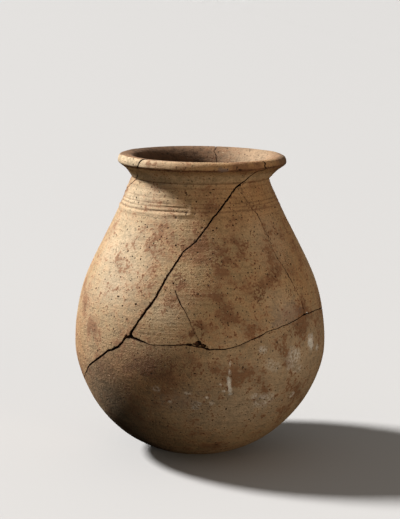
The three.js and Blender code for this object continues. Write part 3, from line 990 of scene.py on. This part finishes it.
def broken_clay(groups):
    """The rough faces where the clay broke, dark with dirt and with painted shade for the depth of the
    cracks.
    A few chips are fresh.
    """
    material, recipe, shader = shader_of("broken clay")
    point = recipe.add("TexCoord", out="Object")
    fine = recipe.wave(point, 1.6, detail=5, roughness=0.7)
    grit = specks(recipe, groups, point, *BROKEN_GRIT)
    fresh = patches(recipe, groups, point, fine, FRESH_CHIPS, 0.4)
    # The near-black base is dirt, and painted shade for the cracks' depth.
    colour = recipe.mix(recipe.ramp(fine, -0.3, 0.6, 0.0, 0.5), DIRTY_AND_SHADED_BREAK, RUSTY_BROWN)
    colour = recipe.mix(fresh, colour, FRESH_BREAK)
    colour = recipe.mix(grit, colour, GRIT_DARK)
    finish_surface(recipe, shader, colour, fine, 0.3 * MM)
    shader["Roughness"].default_value = 0.95
    return material


# Camera, floor and light.

CAMERA_DISTANCE = 1175.7 * MM
CAMERA_PITCH = 10.04
AIM_HEIGHT = 151.7 * MM
SENSOR = 36
PICTURE_HEIGHT = 519
FOCAL_LENGTH = 1500 / PICTURE_HEIGHT * SENSOR

# The lights: azimuth and elevation in degrees, the key's power in watts a square metre, the fill's in watts.
KEY = dict(azimuth=-107.5, elevation=42.0, power=6.7, tint=(1.0, 1.0, 1.0))
KEY_SPREAD = 11
FILL = dict(azimuth=38.7, elevation=4, power=12, tint=(1.0, 0.79, 0.56), distance=2.0)
FILL_SIZE = 0.4
SKY_TINT = (1.0, 0.97, 0.93, 1)
SKY_STRENGTH = 0.22
LIT_HEIGHT = 0.12

FLOOR_RADIUS = 150
FLOOR_GREY = (0.46, 0.45, 0.44, 1)
FLOOR_ROUGHNESS = 0.9


def point_at(thing, place, target):
    thing.location = place
    thing.rotation_euler = (Vector(target) - Vector(place)).to_track_quat("-Z", "Y").to_euler()


def set_camera():
    data = bpy.data.cameras.new("camera")
    data.sensor_width = SENSOR
    data.lens = FOCAL_LENGTH
    camera = bpy.data.objects.new("camera", data)
    bpy.context.scene.collection.objects.link(camera)
    pitch = math.radians(CAMERA_PITCH)
    away = Vector((0, -math.cos(pitch), math.sin(pitch))) * CAMERA_DISTANCE
    target = Vector((0, 0, AIM_HEIGHT))
    point_at(camera, target + away, target)
    bpy.context.scene.camera = camera


def aimed_light(name, kind, azimuth, elevation, power, tint, distance=4.0):
    """A new light that shines on the middle of the pot."""
    data = bpy.data.lights.new(name, kind)
    data.energy = power
    data.color = tint
    light = bpy.data.objects.new(name, data)
    bpy.context.scene.collection.objects.link(light)
    turn, rise = math.radians(azimuth), math.radians(elevation)
    target = Vector((0, 0, LIT_HEIGHT))
    level = math.cos(rise)
    away = Vector((math.sin(turn) * level, -math.cos(turn) * level, math.sin(rise))) * distance
    point_at(light, target + away, target)
    return data


def light_the_studio():
    """A soft light from the left and a little behind, a small warm one low at the right, and a faint sky."""
    key = aimed_light("key", "SUN", **KEY)
    key.angle = math.radians(KEY_SPREAD)
    fill = aimed_light("fill", "AREA", **FILL)
    fill.shape = "DISK"
    fill.size = FILL_SIZE

    world = bpy.data.worlds.new("studio")
    world.use_nodes = True
    recipe = Recipe(world.node_tree)
    direction = recipe.add("TexCoord", out="Generated")
    up = recipe.add("SeparateXYZ", (direction,), out="Z")
    background = world.node_tree.nodes["Background"].inputs
    background["Color"].default_value = SKY_TINT
    recipe.tree.links.new(recipe.ramp(up, 0.0, 0.2, 0.0, SKY_STRENGTH), background["Strength"])
    bpy.context.scene.world = world
    bpy.context.scene.view_settings.view_transform = "Standard"


def set_stage():
    material, _, shader = shader_of("pale floor")
    shader["Base Color"].default_value = FLOOR_GREY
    shader["Roughness"].default_value = FLOOR_ROUGHNESS
    bm = bmesh.new()
    bmesh.ops.create_circle(bm, cap_ends=True, radius=FLOOR_RADIUS, segments=64)
    floor = new_piece("floor", bm, material)
    floor.visible_diffuse = False
    floor.visible_glossy = False
    floor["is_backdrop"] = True
    light_the_studio()


set_camera()
set_stage()
groups = {"place": place_on_the_wall(), "patch": patch_on_the_wall(), "specks": specks_in_the_clay()}
bottle = mended_bottle(fired_clay(groups), broken_clay(groups))
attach(bottle, "root")
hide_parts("bottle")

box_of = lambda bounds: [list(corner) for corner in bounds]
{"cad": box_of(cad_box), "visual": box_of(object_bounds())}
